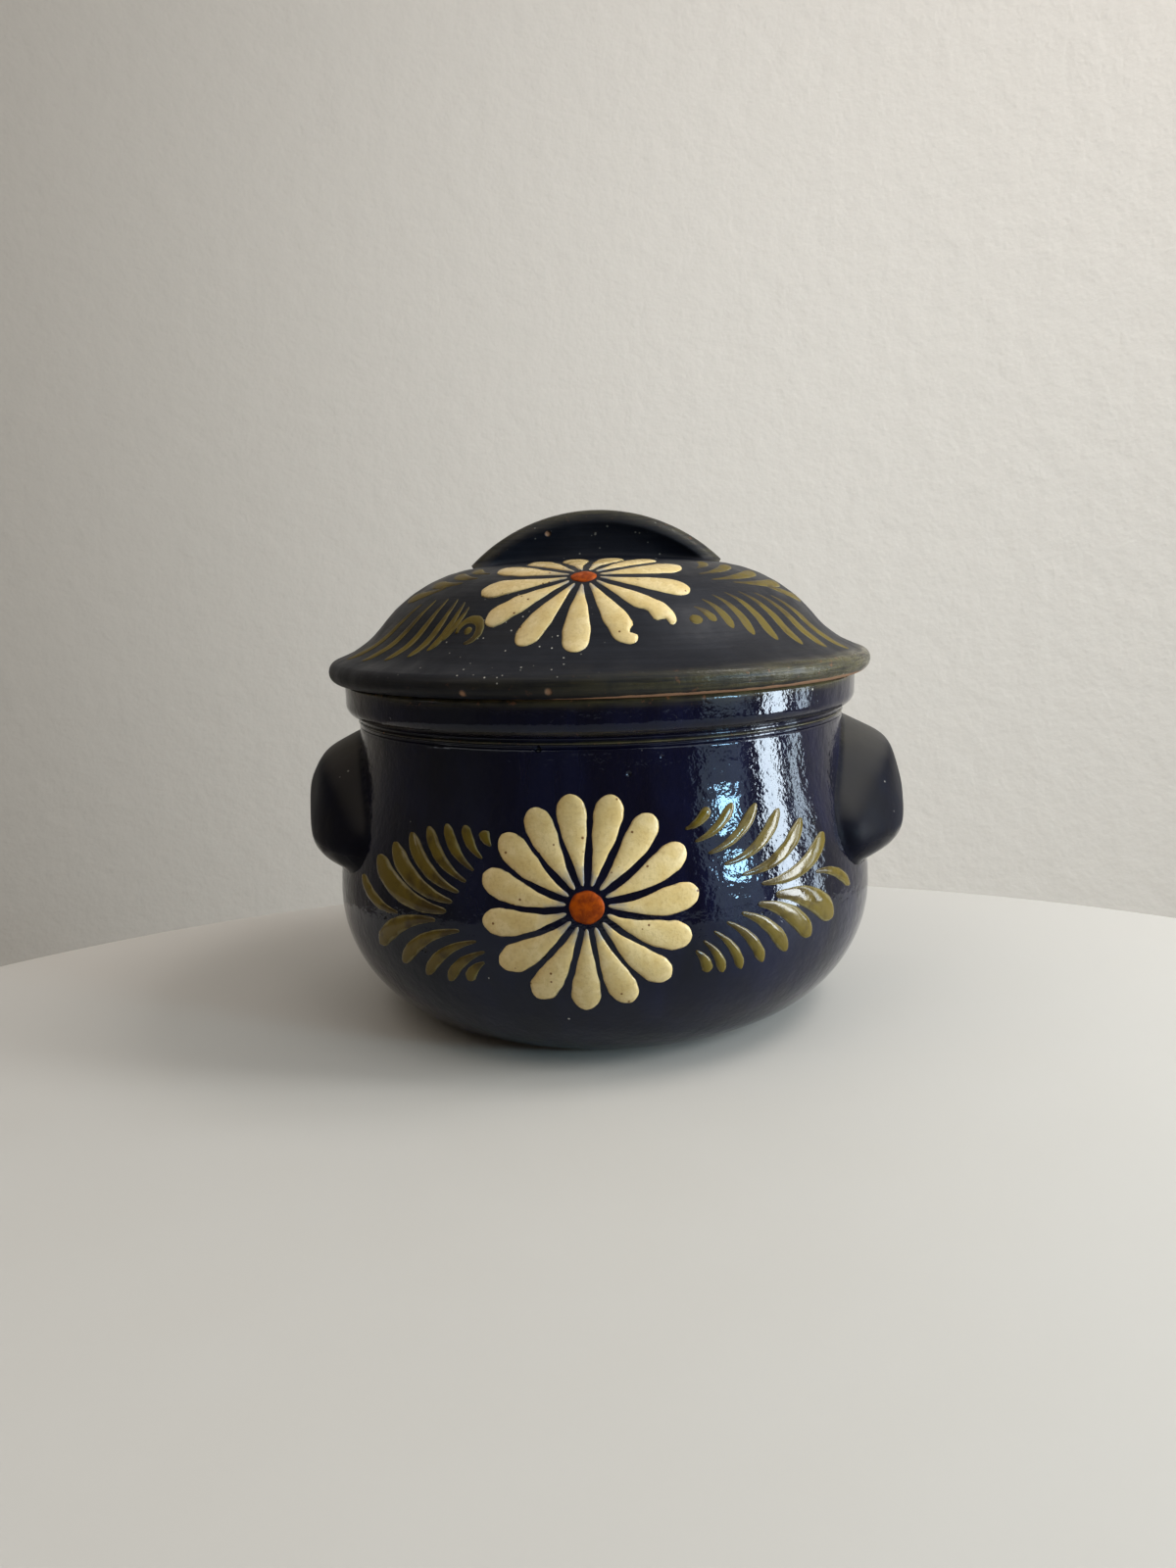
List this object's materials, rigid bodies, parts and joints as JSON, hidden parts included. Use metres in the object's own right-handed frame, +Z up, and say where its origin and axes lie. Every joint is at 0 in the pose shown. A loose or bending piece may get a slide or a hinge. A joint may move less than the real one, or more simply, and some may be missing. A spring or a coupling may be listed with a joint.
{
  "type": "lidded pot",
  "caption": "Round-bellied glazed earthenware pot with a collared mouth, side lugs and a domed lift-off lid with a crescent grip, painted with raised slip flowers and leaves.",
  "frame": {"origin": "middle of the foot, on the table", "axes": "+Z up along the pot's axis, -Y out of the pictured front, +X and -X out along the lugs"},
  "size_m": [0.2388, 0.2142, 0.1935],
  "materials": {
    "pot_glaze": "glossy",
    "lid_glaze": "satin",
    "cream_slip": "glossy",
    "orange_slip": "glossy",
    "green_slip": "glossy"
  },
  "bodies": {
    "pot": {"pot_body": "pot_glaze", "left_lug": "pot_glaze", "right_lug": "pot_glaze", "pot_front_petals": "cream_slip", "pot_front_centre": "orange_slip", "pot_front_leaves": "green_slip", "pot_back_petals": "cream_slip", "pot_back_centre": "orange_slip", "pot_back_leaves": "green_slip"},
    "lid": {"lid_shell": "lid_glaze", "lid_grip": "lid_glaze", "lid_front_petals": "cream_slip", "lid_front_centre": "orange_slip", "lid_front_leaves": "green_slip", "lid_back_petals": "cream_slip", "lid_back_centre": "orange_slip", "lid_back_leaves": "green_slip"}
  },
  "joints": [
    {"name": "lid_lift", "type": "slide", "parent": "pot", "child": "lid", "axis": [0, 0, 1], "range_m": [0, 0.15]}
  ]
}
